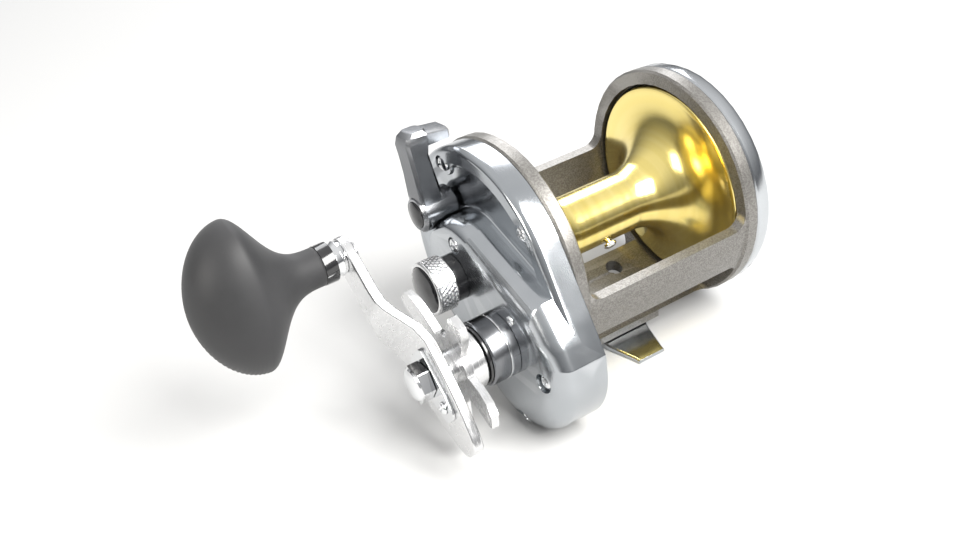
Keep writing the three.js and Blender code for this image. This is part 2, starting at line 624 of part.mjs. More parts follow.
// The handle arm: [s along the arm, lower edge t, upper edge t].
const ARM_STATIONS = [
  [-27.5, -2.0, 3.6], [-26.5, -3.6, 5.2], [-23, -6.0, 7.0], [-14, -9.6, 9.4], [-8, -11.2, 10.6],
  [0, -12.2, 11.4], [9, -12.8, 11.6], [14, -12.8, 11.6], [18, -11.6, 11.6], [20.5, -9.0, 11.6],
  [23, -4.6, 11.6], [26, -1.6, 11.6], [30, -1.0, 11.4], [33, -1.0, 11.2], [41, -1.2, 10.8],
  [46, -0.9, 10.4], [49.3, 0.7, 8.8], [51, 3.0, 6.4],
];

function smooth(a, b, v) {
  const w = THREE.MathUtils.clamp((v - a) / (b - a), 0, 1);
  return w * w * (3 - 2 * w);
}

function armPoint(x, s, t) {
  return [
    x,
    DRIVE_Y + s * Math.cos(ARM_ANGLE) + t * Math.sin(ARM_ANGLE),
    DRIVE_Z + s * Math.sin(ARM_ANGLE) - t * Math.cos(ARM_ANGLE),
  ];
}

function buildArm() {
  const sections = ARM_STATIONS.map(([s, lo, hi]) => {
    const x = ARM_X + ARM_CRANK * smooth(9, 28, s);
    const e = 0.4;
    return [
      armPoint(x, s, lo + e), armPoint(x + e, s, lo), armPoint(x + ARM_T - e, s, lo), armPoint(x + ARM_T, s, lo + e),
      armPoint(x + ARM_T, s, hi - e), armPoint(x + ARM_T - e, s, hi), armPoint(x + e, s, hi), armPoint(x, s, hi - e),
    ];
  });
  const [, ky, kz] = armPoint(0, KNOB_S, KNOB_T);
  return cut(loft(sections),
    disc(ARM_X - 2, ARM_X + 8, 3.5, DRIVE_Y, DRIVE_Z, 20),
    disc(ARM_X, ARM_X + 14, 3.1, ky, kz, 20));
}
add('handle_arm', buildArm(), 'bright_aluminium');

const NUT_X0 = ARM_X + ARM_T + FIT;
const hexPoints = (r, y, z) => circlePoints(r, y, z, 6);
add('handle_nut', cut(
  join(
    plateX(hexPoints(6.6, DRIVE_Y, DRIVE_Z), NUT_X0 + 1.1, NUT_X0 + 5.2),
    turned([[NUT_X0 + 4.6, 0], [NUT_X0 + 4.6, 5.6], [NUT_X0 + 5.8, 5.3], [NUT_X0 + 6.3, 3.6], [NUT_X0 + 6.5, 0]],
      DRIVE_Y, DRIVE_Z, 18)),
  disc(NUT_X0 - 1, SHAFT_END_X + FIT, 3.5, DRIVE_Y, DRIVE_Z, 20)), 'chrome');

// The retainer keeps the nut from backing off: a thin plate with one small screw.
const RETAINER_S = -10.6;
const RETAINER_T = 2.0;
function buildRetainer() {
  const section = (s, half) => [
    armPoint(NUT_X0, s, RETAINER_T - half), armPoint(NUT_X0 + 0.9, s, RETAINER_T - half),
    armPoint(NUT_X0 + 0.9, s, RETAINER_T + half), armPoint(NUT_X0, s, RETAINER_T + half),
  ];
  const plate = loft([section(-15.4, 2.2), section(-14.2, 3.8), section(-8, 5.4), section(7.4, 5.4), section(8.6, 3.6)]);
  const [, sy, sz] = armPoint(0, RETAINER_S, RETAINER_T);
  return cut(plate,
    disc(NUT_X0 - 1, NUT_X0 + 3, 3.6, DRIVE_Y, DRIVE_Z, 20),
    disc(NUT_X0 - 1, NUT_X0 + 3, 1.1, sy, sz, 12));
}
add('nut_retainer', buildRetainer(), 'chrome');
{
  const [, sy, sz] = armPoint(0, RETAINER_S, RETAINER_T);
  screw('retainer_screw', NUT_X0 + 0.95, sy, sz, 1, 2.1, 1.2, 0.95, 0.98);
}
// ---- handle knob ----
const [, KNOB_Y, KNOB_Z] = armPoint(0, KNOB_S, KNOB_T);
const KNOB_X0 = ARM_X + ARM_CRANK + ARM_T;
const NECK_X = KNOB_X0 + 3.6;
const GRIP_X0 = NECK_X + 4.4;
const GRIP_X1 = SEAM_X + 105;
add('knob_spindle', turned([
  [ARM_X + ARM_CRANK - 0.8, 0], [ARM_X + ARM_CRANK - 0.8, 4.4], [KNOB_X0 - ARM_T - FIT, 4.4], [KNOB_X0 - ARM_T - FIT, 3.0],
  [KNOB_X0 + FIT, 3.0], [KNOB_X0 + FIT, 5.4], [KNOB_X0 + 1.4, 5.8], [KNOB_X0 + 2.8, 5.0], [KNOB_X0 + 3.3, 5.0],
  [KNOB_X0 + 3.3, 2.8], [GRIP_X1 - 12, 2.8], [GRIP_X1 - 12, 0],
], KNOB_Y, KNOB_Z, 20), 'chrome');
add('knob_collar', tube(NECK_X, GRIP_X0 - FIT, 3.1, 6.5, KNOB_Y, KNOB_Z, 20), 'black_plastic');

// The grip flares from a round neck to an oval paddle and closes in a soft dome.
const NECK_R = 6.3;
const PADDLE_HALF_W = 25.3;
const PADDLE_HALF_T = 16.5;
const PADDLE_WIDEST = 0.58;      // share of the length
const PADDLE_ANGLE = THREE.MathUtils.degToRad(-80);
const GRIP_SHARES = [0, 0.12, 0.22, 0.31, 0.39, 0.46, 0.52, 0.58, 0.67, 0.76, 0.84, 0.91, 0.96, 0.99];

function paddleScale(w) {
  if (w < PADDLE_WIDEST) return (1 - Math.cos(Math.PI * (w / PADDLE_WIDEST) ** 1.7)) / 2;
  return (1 - ((w - PADDLE_WIDEST) / (1 - PADDLE_WIDEST)) ** 1.9) ** (1 / 1.9);
}

function buildGrip() {
  const count = 24;
  const sections = GRIP_SHARES.map((w) => {
    const floor = w < PADDLE_WIDEST ? NECK_R : 0;
    const a = floor + (PADDLE_HALF_W - floor) * paddleScale(w);
    const b = floor + (PADDLE_HALF_T - floor) * paddleScale(w);
    const x = GRIP_X0 + (GRIP_X1 - GRIP_X0) * w;
    const ring = [];
    for (let i = 0; i < count; i += 1) {
      const t = i / count * 2 * Math.PI;
      const p = a * Math.cos(t);
      const q = b * Math.sin(t);
      ring.push([
        x,
        KNOB_Y + p * Math.cos(PADDLE_ANGLE) - q * Math.sin(PADDLE_ANGLE),
        KNOB_Z + p * Math.sin(PADDLE_ANGLE) + q * Math.cos(PADDLE_ANGLE),
      ]);
    }
    return ring;
  });
  return cut(loft(sections), disc(GRIP_X0 - 2, GRIP_X1 - 11.5, 3.1, KNOB_Y, KNOB_Z, 20));
}
add('knob_grip', buildGrip(), 'rubber');

// ---- cast tension knob ----
add('tension_collar', tube(FACE_X + FIT, SEAM_X + 22.3, 5.4, 7.9, 0, AXIS_Z, 28), 'black_plastic');
add('right_spool_bearing', tube(SEAM_X + 17.4, SEAM_X + 21.4, SHAFT_R + 0.1, 5.3, 0, AXIS_Z, 20), 'steel');
add('tension_knob', turned([
  [SEAM_X + 22.7, 5.0], [SEAM_X + 22.7, 8.6], [SEAM_X + 23.3, 9.2], [SEAM_X + 29.7, 9.2], [SEAM_X + 30.3, 8.8],
  [SEAM_X + 30.3, 8.0], [SEAM_X + 29.0, 8.0], [SEAM_X + 29.0, 0],
  [SEAM_X + 27.0, 0], [SEAM_X + 27.0, 5.0], [SEAM_X + 22.7, 5.0],
], 0, AXIS_Z, 32), 'bright_aluminium');
add('tension_knob_insert', turned([
  [SEAM_X + 29.1, 0], [SEAM_X + 29.1, 7.9], [SEAM_X + 30.3, 7.9], [SEAM_X + 31.1, 6.8], [SEAM_X + 31.8, 4], [SEAM_X + 32, 0],
], 0, AXIS_Z, 28), 'black_plastic');

// ---- clutch: pinion, yoke, cam and lever ----
const PINION_X0 = SEAM_X + 3.0;
const PINION_X1 = SEAM_X + 8.6;
add('pinion_gear', cut(
  join(
    plateX(gearOutline(PINION_TEETH, TO_SPOOL + Math.PI, false, 0, AXIS_Z), PINION_X0, PINION_X1),
    disc(PINION_X1 - 0.5, SEAM_X + 12.2, 3.3, 0, AXIS_Z, 20),
    disc(SEAM_X + 11.4, SEAM_X + 13.4, 5.0, 0, AXIS_Z, 20)),
  disc(SEAM_X, SEAM_X + 16, SHAFT_R + RUN, 0, AXIS_Z, 20)), 'brass');

const YOKE_X0 = SEAM_X + 9.2;
const YOKE_X1 = SEAM_X + 10.8;
const CAM_R = 13;                // radius of the cam's ramp about the lever axis
const YOKE_TAB_ANGLE = -34;      // where the yoke's tab stands, seen from the lever axis
const [tabY, tabZ] = polar(CAM_R, YOKE_TAB_ANGLE, LEVER_Y, LEVER_Z);

function yokePostAt(side) {
  return [side * YOKE_POST_R * Math.cos(YOKE_ANGLE), AXIS_Z + side * YOKE_POST_R * Math.sin(YOKE_ANGLE)];
}

function buildYoke() {
  const bar = box(YOKE_X0, YOKE_X1, -14, 14, -4.4, 4.4);
  bar.rotateX(YOKE_ANGLE);
  bar.translate(0, 0, AXIS_Z);
  const slot = join(
    disc(YOKE_X0 - 1, YOKE_X1 + 1, 3.6, 0, AXIS_Z, 20),
    (() => {
      const g = box(YOKE_X0 - 1, YOKE_X1 + 1, -3.6, 3.6, -9, 0);
      g.rotateX(YOKE_ANGLE);
      g.translate(0, 0, AXIS_Z);
      return g;
    })());
  const posts = [-1, 1].map((side) => disc(YOKE_X0 - 1, YOKE_X1 + 1, 1.6, ...yokePostAt(side), 14));
  const tab = disc(SEAM_X + 4.9, YOKE_X1, 1.3, tabY, tabZ, 12);
  const lug = loft([YOKE_X0, YOKE_X1].map((x) => outline(
    [[tabY, tabZ, 1.8], [2.5, AXIS_Z + 6.5, 1.8]], 24, x)));
  return cut(join(bar, lug, tab), slot, ...posts);
}
add('clutch_yoke', buildYoke(), 'dark_metal');
[-1, 1].forEach((side, i) => {
  const [y, z] = yokePostAt(side);
  add(`yoke_post_${i + 1}`, disc(SEAM_X + 5.4, SEAM_X + 16.5, 1.3, y, z, 14), 'steel');
  add(`yoke_spring_${i + 1}`, tube(SEAM_X + 13.7, SEAM_X + 16.3, 1.5, 2.5, y, z, 14), 'steel');
});

// The cam turns with the lever. Its ramp rises under the yoke's tab.
const CAM_X0 = SEAM_X + 2.6;
const CAM_T = 1.0;
const CAM_SWEEP = 30;

function buildCam() {
  const profile = [];
  const steps = 6;
  const sections = [];
  for (let i = 0; i <= steps; i += 1) {
    const a = YOKE_TAB_ANGLE + 8 - (CAM_SWEEP + 8) * i / steps;
    const top = CAM_X0 + CAM_T + CLUTCH_TRAVEL * i / steps;
    sections.push([[CAM_R - 1.5, CAM_X0], [CAM_R + 1.5, CAM_X0], [CAM_R + 1.5, top], [CAM_R - 1.5, top]]
      .map(([r, x]) => [x, ...polar(r, a, LEVER_Y, LEVER_Z)]));
  }
  const ramp = loft(sections.reverse());
  const webAngles = [YOKE_TAB_ANGLE + 8, YOKE_TAB_ANGLE - CAM_SWEEP];
  const web = plateX([
    polar(3, webAngles[0] + 60, LEVER_Y, LEVER_Z), polar(3, webAngles[1] - 60, LEVER_Y, LEVER_Z),
    ...[0, 1, 2, 3, 4].map((k) => polar(CAM_R, webAngles[1] + (webAngles[0] - webAngles[1]) * k / 4, LEVER_Y, LEVER_Z)),
  ], CAM_X0, CAM_X0 + CAM_T);
  return join(ramp, web,
    disc(CAM_X0, CAM_X0 + CAM_T, 4.6, LEVER_Y, LEVER_Z, 20),
    disc(CAM_X0, SEAM_X + 13, 2.3, LEVER_Y, LEVER_Z, 18));
}
add('clutch_cam', buildCam(), 'dark_metal');

// The lever's arm rises from its hub and turns over towards the reel as a thumb pad.
// Stations: [height above the hub, x inner, x outer, half width].
const LEVER_HUB_R = 6.4;
const LEVER_X0 = DISH_X + 1.0;
const LEVER_X1 = SEAM_X + 21.4;
const LEVER_LEAN = 8;            // degrees towards the rear

function buildLever() {
  const stations = [
    [0, 12.6, 20.6, 5.2], [6, 12.6, 21.0, 5.0], [14, 13.6, 21.2, 4.6], [20, 14.4, 21.6, 4.5],
    [24.5, 13.4, 22.0, 4.6], [27.0, 13.0, 21.2, 4.3], [28.4, 13.8, 19.6, 3.4],
  ];
  const arm = loft(stations.map(([h, xa, xb, half]) => {
    const e = 1.1;
    return [
      [SEAM_X + xa, -half + e, h], [SEAM_X + xa, half - e, h], [SEAM_X + xa + e, half, h], [SEAM_X + xb - e, half, h],
      [SEAM_X + xb, half - e, h], [SEAM_X + xb, -half + e, h], [SEAM_X + xb - e, -half, h], [SEAM_X + xa + e, -half, h],
    ];
  }));
  const pad = loft([[5.6, 3.4, 1.2], [6.4, 4.2, 1.9], [14, 4.4, 2.3], [19, 4.2, 2.6]].map(([x, half, t]) => {
    const mid = 25.0 + (x - 5.6) * 0.06;
    return [
      [SEAM_X + x, -half, mid - t], [SEAM_X + x, -half, mid + t * 0.5], [SEAM_X + x, -half + 1, mid + t],
      [SEAM_X + x, half - 1, mid + t], [SEAM_X + x, half, mid + t * 0.5], [SEAM_X + x, half, mid - t],
    ].reverse();
  }));
  const hub = turned([
    [LEVER_X0, 0], [LEVER_X0, LEVER_HUB_R - 0.6], [LEVER_X0 + 0.8, LEVER_HUB_R],
    [LEVER_X1 - 1, LEVER_HUB_R], [LEVER_X1, LEVER_HUB_R - 1], [LEVER_X1, 0],
  ], 0, 0, 28);
  const body = join(arm, pad, hub);
  body.rotateX(THREE.MathUtils.degToRad(LEVER_LEAN));
  body.translate(0, LEVER_Y, LEVER_Z);
  return cut(body,
    disc(LEVER_X0 - 1, SEAM_X + 13 + FIT, 2.4, LEVER_Y, LEVER_Z, 18),
    disc(LEVER_X1 - 1.2, LEVER_X1 + 4, 4.7, LEVER_Y, LEVER_Z, 20));
}
add('clutch_lever', buildLever(), 'dark_metal');
add('lever_cap', turned([
  [LEVER_X1 - 1.1, 0], [LEVER_X1 - 1.1, 4.5], [LEVER_X1 + 0.2, 4.5], [LEVER_X1 + 0.9, 3.2], [LEVER_X1 + 1.2, 0],
], LEVER_Y, LEVER_Z, 20), 'black_plastic');

export default reel;
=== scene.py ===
"""Trolling reel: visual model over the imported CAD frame. Lengths are in metres."""
import json
import math

import bmesh
import bpy
from mathutils import Matrix, Vector


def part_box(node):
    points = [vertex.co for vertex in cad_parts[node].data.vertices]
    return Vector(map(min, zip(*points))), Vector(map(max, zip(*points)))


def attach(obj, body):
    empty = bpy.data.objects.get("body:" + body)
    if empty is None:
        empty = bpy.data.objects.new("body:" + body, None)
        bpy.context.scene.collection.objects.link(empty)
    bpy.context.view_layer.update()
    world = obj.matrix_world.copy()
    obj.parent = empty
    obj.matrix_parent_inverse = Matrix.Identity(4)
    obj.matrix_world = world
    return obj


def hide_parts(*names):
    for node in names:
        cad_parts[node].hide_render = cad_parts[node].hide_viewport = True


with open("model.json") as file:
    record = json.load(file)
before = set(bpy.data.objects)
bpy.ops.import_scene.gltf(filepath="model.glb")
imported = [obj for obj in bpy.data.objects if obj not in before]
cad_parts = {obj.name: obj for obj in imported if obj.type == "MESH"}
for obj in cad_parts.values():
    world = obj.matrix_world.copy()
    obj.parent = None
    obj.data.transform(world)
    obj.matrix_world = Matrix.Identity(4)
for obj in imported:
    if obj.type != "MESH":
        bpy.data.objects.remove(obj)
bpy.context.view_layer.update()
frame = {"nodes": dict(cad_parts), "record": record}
MM = 0.001

# ---- axes taken from the frame ----


def mid(node):
    """The middle of a CAD node's box."""
    lo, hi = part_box(node)
    return (Vector(lo) + Vector(hi)) / 2


SPOOL_AXIS = mid("spool")
KNOB_AXIS = mid("knob_spindle")

# ---- camera ----
camera_data = bpy.data.cameras.new("camera")
camera_data.lens = 44.17
camera_data.sensor_width = 36
camera = bpy.data.objects.new("camera", camera_data)
bpy.context.scene.collection.objects.link(camera)
right = Vector((-0.8250, 0.5590, -0.0835)).normalized()
forward = Vector((-0.4230, -0.7080, -0.5650)).normalized()
up = right.cross(forward).normalized()
right = forward.cross(up)
turn = Matrix((right, up, -forward)).transposed().to_4x4()
camera.matrix_world = Matrix.Translation(Vector((213.1, 283.0, 264.6)) * MM) @ turn
bpy.context.scene.camera = camera

# ---- floor and light ----


def node_of(tree, kind, **values):
    node = tree.nodes.new(kind)
    for key, value in values.items():
        setattr(node, key, value)
    return node


def stage_scene():
    bpy.ops.mesh.primitive_plane_add(size=8, location=(0, 0, -0.0002))
    floor = bpy.context.object
    floor.name = "floor"
    paint = bpy.data.materials.new("floor_paint")
    paint.use_nodes = True
    shader = paint.node_tree.nodes["Principled BSDF"]
    shader.inputs["Base Color"].default_value = (0.50, 0.50, 0.497, 1)
    shader.inputs["Roughness"].default_value = 0.9
    shader.inputs["Specular IOR Level"].default_value = 0.1
    floor.data.materials.append(paint)

    world = bpy.data.worlds.new("studio")
    world.use_nodes = True
    tree = world.node_tree
    background = tree.nodes["Background"]
    coords = node_of(tree, "ShaderNodeTexCoord")
    split = node_of(tree, "ShaderNodeSeparateXYZ")
    ramp = node_of(tree, "ShaderNodeValToRGB")
    ramp.color_ramp.elements[0].position = 0.02
    ramp.color_ramp.elements[0].color = (0.16, 0.165, 0.175, 1)
    ramp.color_ramp.elements[1].position = 0.75
    ramp.color_ramp.elements[1].color = (1.0, 1.0, 1.0, 1)
    tree.links.new(coords.outputs["Generated"], split.inputs[0])
    tree.links.new(split.outputs["Z"], ramp.inputs[0])
    tree.links.new(ramp.outputs[0], background.inputs[0])
    background.inputs[1].default_value = 0.85
    bpy.context.scene.world = world

    lights = [
        # name, place, size, power, colour
        ("key", (-0.10, 0.48, 0.60), 0.50, 12.0, (1.0, 0.99, 0.97)),
        ("side", (0.85, 0.05, 0.40), 0.35, 3.0, (1.0, 0.97, 0.92)),
        ("back", (-0.35, -0.60, 0.55), 0.50, 3.5, (0.97, 0.98, 1.0)),
    ]
    for name, place, size, power, colour in lights:
        data = bpy.data.lights.new(name, "AREA")
        data.size = size
        data.energy = power
        data.color = colour
        lamp = bpy.data.objects.new(name, data)
        lamp.location = place
        aim = Vector((0.03, 0, 0.04)) - Vector(place)
        lamp.rotation_euler = aim.to_track_quat("-Z", "Y").to_euler()
        bpy.context.scene.collection.objects.link(lamp)
    view = bpy.context.scene.view_settings
    view.view_transform = "Standard"
    view.look = "None"
    view.exposure = 0.15


stage_scene()

# ---- materials ----


def base_material(name, metallic, roughness):
    material = bpy.data.materials.new(name)
    material.use_nodes = True
    tree = material.node_tree
    shader = tree.nodes["Principled BSDF"]
    shader.inputs["Metallic"].default_value = metallic
    shader.inputs["Roughness"].default_value = roughness
    coords = node_of(tree, "ShaderNodeTexCoord")
    return material, tree, shader, coords.outputs["Object"]


def noise(tree, vector, scale, detail=3.0, roughness=0.5):
    node = node_of(tree, "ShaderNodeTexNoise")
    node.inputs["Scale"].default_value = scale
    node.inputs["Detail"].default_value = detail
    node.inputs["Roughness"].default_value = roughness
    tree.links.new(vector, node.inputs["Vector"])
    return node.outputs["Fac"]


def ramp_between(tree, value, low, high, start=0.3, end=0.7):
    node = node_of(tree, "ShaderNodeValToRGB")
    node.color_ramp.elements[0].position = start
    node.color_ramp.elements[0].color = (*low, 1)
    node.color_ramp.elements[1].position = end
    node.color_ramp.elements[1].color = (*high, 1)
    tree.links.new(value, node.inputs[0])
    return node.outputs["Color"]


def map_range(tree, value, low, high, start=0.3, end=0.7):
    node = node_of(tree, "ShaderNodeMapRange")
    node.inputs["From Min"].default_value = start
    node.inputs["From Max"].default_value = end
    node.inputs["To Min"].default_value = low
    node.inputs["To Max"].default_value = high
    tree.links.new(value, node.inputs["Value"])
    return node.outputs["Result"]


def bump(tree, shader, value, strength, distance):
    node = node_of(tree, "ShaderNodeBump")
    node.inputs["Strength"].default_value = strength
    node.inputs["Distance"].default_value = distance
    tree.links.new(value, node.inputs["Height"])
    tree.links.new(node.outputs["Normal"], shader.inputs["Normal"])


def scaled(tree, vector, factors):
    node = node_of(tree, "ShaderNodeMapping")
    node.inputs["Scale"].default_value = factors
    tree.links.new(vector, node.inputs["Vector"])
    return node.outputs["Vector"]


def worn_and_highlit_colour(tree, value, low, high, edge, amount=0.5):
    """A mottled colour that lightens along the convex edges: partly edge wear, partly a painted highlight."""
    body = ramp_between(tree, value, low, high)
    geometry = node_of(tree, "ShaderNodeNewGeometry")
    # Pointiness lightens convex edges toward the edge colour: partly wear, partly painted highlight.
    edges = map_range(tree, geometry.outputs["Pointiness"], 0.0, amount, 0.52, 0.6)
    mix = node_of(tree, "ShaderNodeMix", data_type="RGBA")
    tree.links.new(edges, mix.inputs["Factor"])
    tree.links.new(body, mix.inputs["A"])
    mix.inputs["B"].default_value = (*edge, 1)
    return mix.outputs["Result"]


def plain_metal(name, low, high, roughness, spread=0.06, grain=900, edge=None, relief=0.12):
    """Metal with a fine grain, faint smears in its polish and brighter edges, partly worn and partly a painted
    highlight.
    """
    material, tree, shader, where = base_material(name, 1.0, roughness)
    fine = noise(tree, where, grain, 4)
    smear = noise(tree, where, 60, 2)
    # Convex edges lighten to the edge colour: partly wear, partly painted highlight.
    colour = worn_and_highlit_colour(tree, smear, low, high, edge or high)
    tree.links.new(colour, shader.inputs["Base Color"])
    rough = map_range(tree, smear, roughness - spread, roughness + spread)
    tree.links.new(rough, shader.inputs["Roughness"])
    bump(tree, shader, fine, relief, 0.00002)
    return material


def brushed_metal(name, low, high, roughness, stretch, relief=0.25):
    """Metal with fine lines drawn along one direction."""
    material, tree, shader, where = base_material(name, 1.0, roughness)
    lines = noise(tree, scaled(tree, where, stretch), 1.0, 5, 0.6)
    # Convex edges lighten to the high colour: partly wear, partly painted highlight.
    colour = worn_and_highlit_colour(tree, lines, low, high, high)
    tree.links.new(colour, shader.inputs["Base Color"])
    rough = map_range(tree, lines, roughness - 0.05, roughness + 0.09)
    tree.links.new(rough, shader.inputs["Roughness"])
    bump(tree, shader, lines, relief, 0.00002)
    return material


def turned_metal(name, low, high, roughness, axis, pitch=4200, anisotropy=0.6, relief=0.10):
    """Lathe-turned metal: rings about a line parallel to X, and highlights drawn across them."""
    material, tree, shader, where = base_material(name, 1.0, roughness)
    shift = node_of(tree, "ShaderNodeVectorMath", operation="SUBTRACT")
    shift.inputs[1].default_value = (0, axis.y, axis.z)
    tree.links.new(where, shift.inputs[0])
    split = node_of(tree, "ShaderNodeSeparateXYZ")
    tree.links.new(shift.outputs[0], split.inputs[0])
    flat = node_of(tree, "ShaderNodeCombineXYZ")
    tree.links.new(split.outputs["Y"], flat.inputs["Y"])
    tree.links.new(split.outputs["Z"], flat.inputs["Z"])
    radius = node_of(tree, "ShaderNodeVectorMath", operation="LENGTH")
    tree.links.new(flat.outputs[0], radius.inputs[0])
    along = node_of(tree, "ShaderNodeCombineXYZ")
    tree.links.new(split.outputs["X"], along.inputs["X"])
    tree.links.new(radius.outputs["Value"], along.inputs["Y"])
    rings = noise(tree, along.outputs[0], pitch, 2)
    broad = noise(tree, along.outputs[0], pitch / 12, 2)
    tree.links.new(ramp_between(tree, broad, low, high), shader.inputs["Base Color"])
    rough = map_range(tree, rings, roughness - 0.04, roughness + 0.05)
    tree.links.new(rough, shader.inputs["Roughness"])
    shader.inputs["Anisotropic"].default_value = anisotropy
    tangent = node_of(tree, "ShaderNodeTangent", direction_type="RADIAL", axis="X")
    tree.links.new(tangent.outputs[0], shader.inputs["Tangent"])
    bump(tree, shader, rings, relief, 0.00001)
    return material


def flake_paint():
    """Satin grey coating with fine bright flake and a slightly pebbled skin."""
    material, tree, shader, where = base_material("frame_coating", 0.75, 0.38)
    cells = node_of(tree, "ShaderNodeTexVoronoi")
    cells.inputs["Scale"].default_value = 3200
    tree.links.new(where, cells.inputs["Vector"])
    split = node_of(tree, "ShaderNodeSeparateColor")
    tree.links.new(cells.outputs["Color"], split.inputs[0])
    # The pale third colour lightens convex edges: partly worn coating, partly painted highlight.
    colour = worn_and_highlit_colour(tree, split.outputs[0], (0.150, 0.143, 0.132), (0.235, 0.226, 0.212),
                         (0.45, 0.44, 0.42), 0.4)
    tree.links.new(colour, shader.inputs["Base Color"])
    rough = map_range(tree, split.outputs[1], 0.30, 0.46, 0.1, 0.9)
    tree.links.new(rough, shader.inputs["Roughness"])
    bump(tree, shader, noise(tree, where, 1500, 3), 0.30, 0.00004)
    shader.inputs["Coat Weight"].default_value = 0.12
    shader.inputs["Coat Roughness"].default_value = 0.3
    return material


def soft_rubber():
    """Charcoal rubber with a matt skin, paler where it has been handled."""
    material, tree, shader, where = base_material("soft_rubber", 0.0, 0.58)
    patches = noise(tree, where, 55, 4)
    tree.links.new(ramp_between(tree, patches, (0.018, 0.018, 0.019), (0.027, 0.027, 0.0285)),
                   shader.inputs["Base Color"])
    tree.links.new(map_range(tree, patches, 0.50, 0.66), shader.inputs["Roughness"])
    shader.inputs["Sheen Weight"].default_value = 0.08
    shader.inputs["Sheen Roughness"].default_value = 0.5
    shader.inputs["Specular IOR Level"].default_value = 0.42
    bump(tree, shader, noise(tree, where, 2600, 4), 0.22, 0.00005)
    return material


def gloss_black():
    material, tree, shader, where = base_material("gloss_black", 0.0, 0.14)
    haze = noise(tree, where, 120, 3)
    tree.links.new(ramp_between(tree, haze, (0.010, 0.010, 0.011), (0.017, 0.017, 0.018)),
                   shader.inputs["Base Color"])
    tree.links.new(map_range(tree, haze, 0.10, 0.20), shader.inputs["Roughness"])
    shader.inputs["Coat Weight"].default_value = 0.5
    shader.inputs["Coat Roughness"].default_value = 0.05
    bump(tree, shader, noise(tree, where, 400, 2), 0.05, 0.00002)
    return material


def woven_carbon():
    material, tree, shader, where = base_material("woven_carbon", 0.0, 0.5)
    waves = []
    for direction in ("Y", "Z"):
        wave = node_of(tree, "ShaderNodeTexWave", bands_direction=direction)
        wave.inputs["Scale"].default_value = 320
        wave.inputs["Distortion"].default_value = 0.4
        tree.links.new(where, wave.inputs["Vector"])
        waves.append(wave.outputs["Fac"])
    product = node_of(tree, "ShaderNodeMath", operation="MULTIPLY")
    tree.links.new(waves[0], product.inputs[0])
    tree.links.new(waves[1], product.inputs[1])
    tree.links.new(ramp_between(tree, product.outputs[0], (0.015, 0.015, 0.016), (0.07, 0.07, 0.072), 0, 0.8),
                   shader.inputs["Base Color"])
    bump(tree, shader, product.outputs[0], 0.5, 0.0001)
    return material


def moulded_red():
    material, tree, shader, where = base_material("moulded_red", 0.0, 0.45)
    tree.links.new(ramp_between(tree, noise(tree, where, 200, 3), (0.30, 0.085, 0.055), (0.38, 0.12, 0.08)),
                   shader.inputs["Base Color"])
    bump(tree, shader, noise(tree, where, 1800, 3), 0.2, 0.00003)
    return material


# Each edge colour below lightens convex edges: partly wear, partly painted highlight.
MATERIALS = {
    "frame_paint": flake_paint(),
    "plate_metal": plain_metal("plate_metal", (0.40, 0.42, 0.44), (0.46, 0.48, 0.50), 0.17, 0.04,
                               edge=(0.62, 0.64, 0.66)),
    "gold": turned_metal("gold_anodised", (0.86, 0.69, 0.22), (0.93, 0.77, 0.30), 0.17, SPOOL_AXIS),
    "bright_aluminium": brushed_metal("bright_aluminium", (0.72, 0.72, 0.725), (0.80, 0.80, 0.80), 0.22,
                                      (2500, 300, 300)),
    "chrome": plain_metal("chrome", (0.74, 0.75, 0.76), (0.82, 0.83, 0.84), 0.09, 0.03, edge=(0.9, 0.9, 0.9)),
    "dark_metal": plain_metal("dark_satin_chrome", (0.150, 0.155, 0.165), (0.20, 0.205, 0.215), 0.24, 0.05,
                              edge=(0.55, 0.56, 0.58)),
    "steel": brushed_metal("ground_steel", (0.42, 0.43, 0.44), (0.56, 0.57, 0.58), 0.3, (300, 2400, 2400)),
    "brass": plain_metal("machined_brass", (0.58, 0.42, 0.17), (0.70, 0.53, 0.24), 0.26, 0.05,
                         edge=(0.8, 0.66, 0.4)),
    "black_plastic": gloss_black(),
    "rubber": soft_rubber(),
    "drag_fabric": woven_carbon(),
    "brake_plastic": moulded_red(),
}

SLOT_OF = {part["node"]: part["material_slot"] for part in frame["record"]["subparts"]}


def sharpen(mesh, angle):
    """Smooth shading, with a crease kept wherever faces meet at more than the angle."""
    bm = bmesh.new()
    bm.from_mesh(mesh)
    for face in bm.faces:
        face.smooth = True
    for edge in bm.edges:
        edge.smooth = not (len(edge.link_faces) == 2 and edge.calc_face_angle(0) > math.radians(angle))
    bm.to_mesh(mesh)
    bm.free()


WELD_DISTANCE = 0.002
HARD_EDGE_DEG = 30
FLAT_FACE_WEIGHT = 90
DEFAULT_EDGE_WIDTH = 0.12


def round_edges(piece, width):
    """Rounds the hard edges of a piece a little, by modifiers alone, and evens out its shading."""
    weld = piece.modifiers.new("weld", "WELD")
    weld.merge_threshold = WELD_DISTANCE * MM
    bevel = piece.modifiers.new("edge", "BEVEL")
    bevel.width = width * MM
    bevel.segments = 2
    bevel.limit_method = "ANGLE"
    bevel.angle_limit = math.radians(HARD_EDGE_DEG)
    bevel.use_clamp_overlap = True
    shading = piece.modifiers.new("shading", "WEIGHTED_NORMAL")
    shading.weight = FLAT_FACE_WEIGHT


EDGE_WIDTH = {"clutch_lever": 0.9, "star_drag": 0.8, "handle_arm": 0.5, "handle_nut": 0.35, "frame": 0.4,
              "left_side_plate": 0.4, "nut_retainer": 0.15, "drag_nut": 0.3, "reel_foot": 0.25}
for name, piece in frame["nodes"].items():
    for slot in piece.material_slots:
        slot.material = MATERIALS[SLOT_OF[name]]
    round_edges(piece, EDGE_WIDTH.get(name, DEFAULT_EDGE_WIDTH))

# ---- mesh helpers ----


def face_outward(mesh):
    """Turns every face of a closed mesh outward."""
    bm = bmesh.new()
    bm.from_mesh(mesh)
    bmesh.ops.recalc_face_normals(bm, faces=bm.faces)
    bm.to_mesh(mesh)
    bm.free()


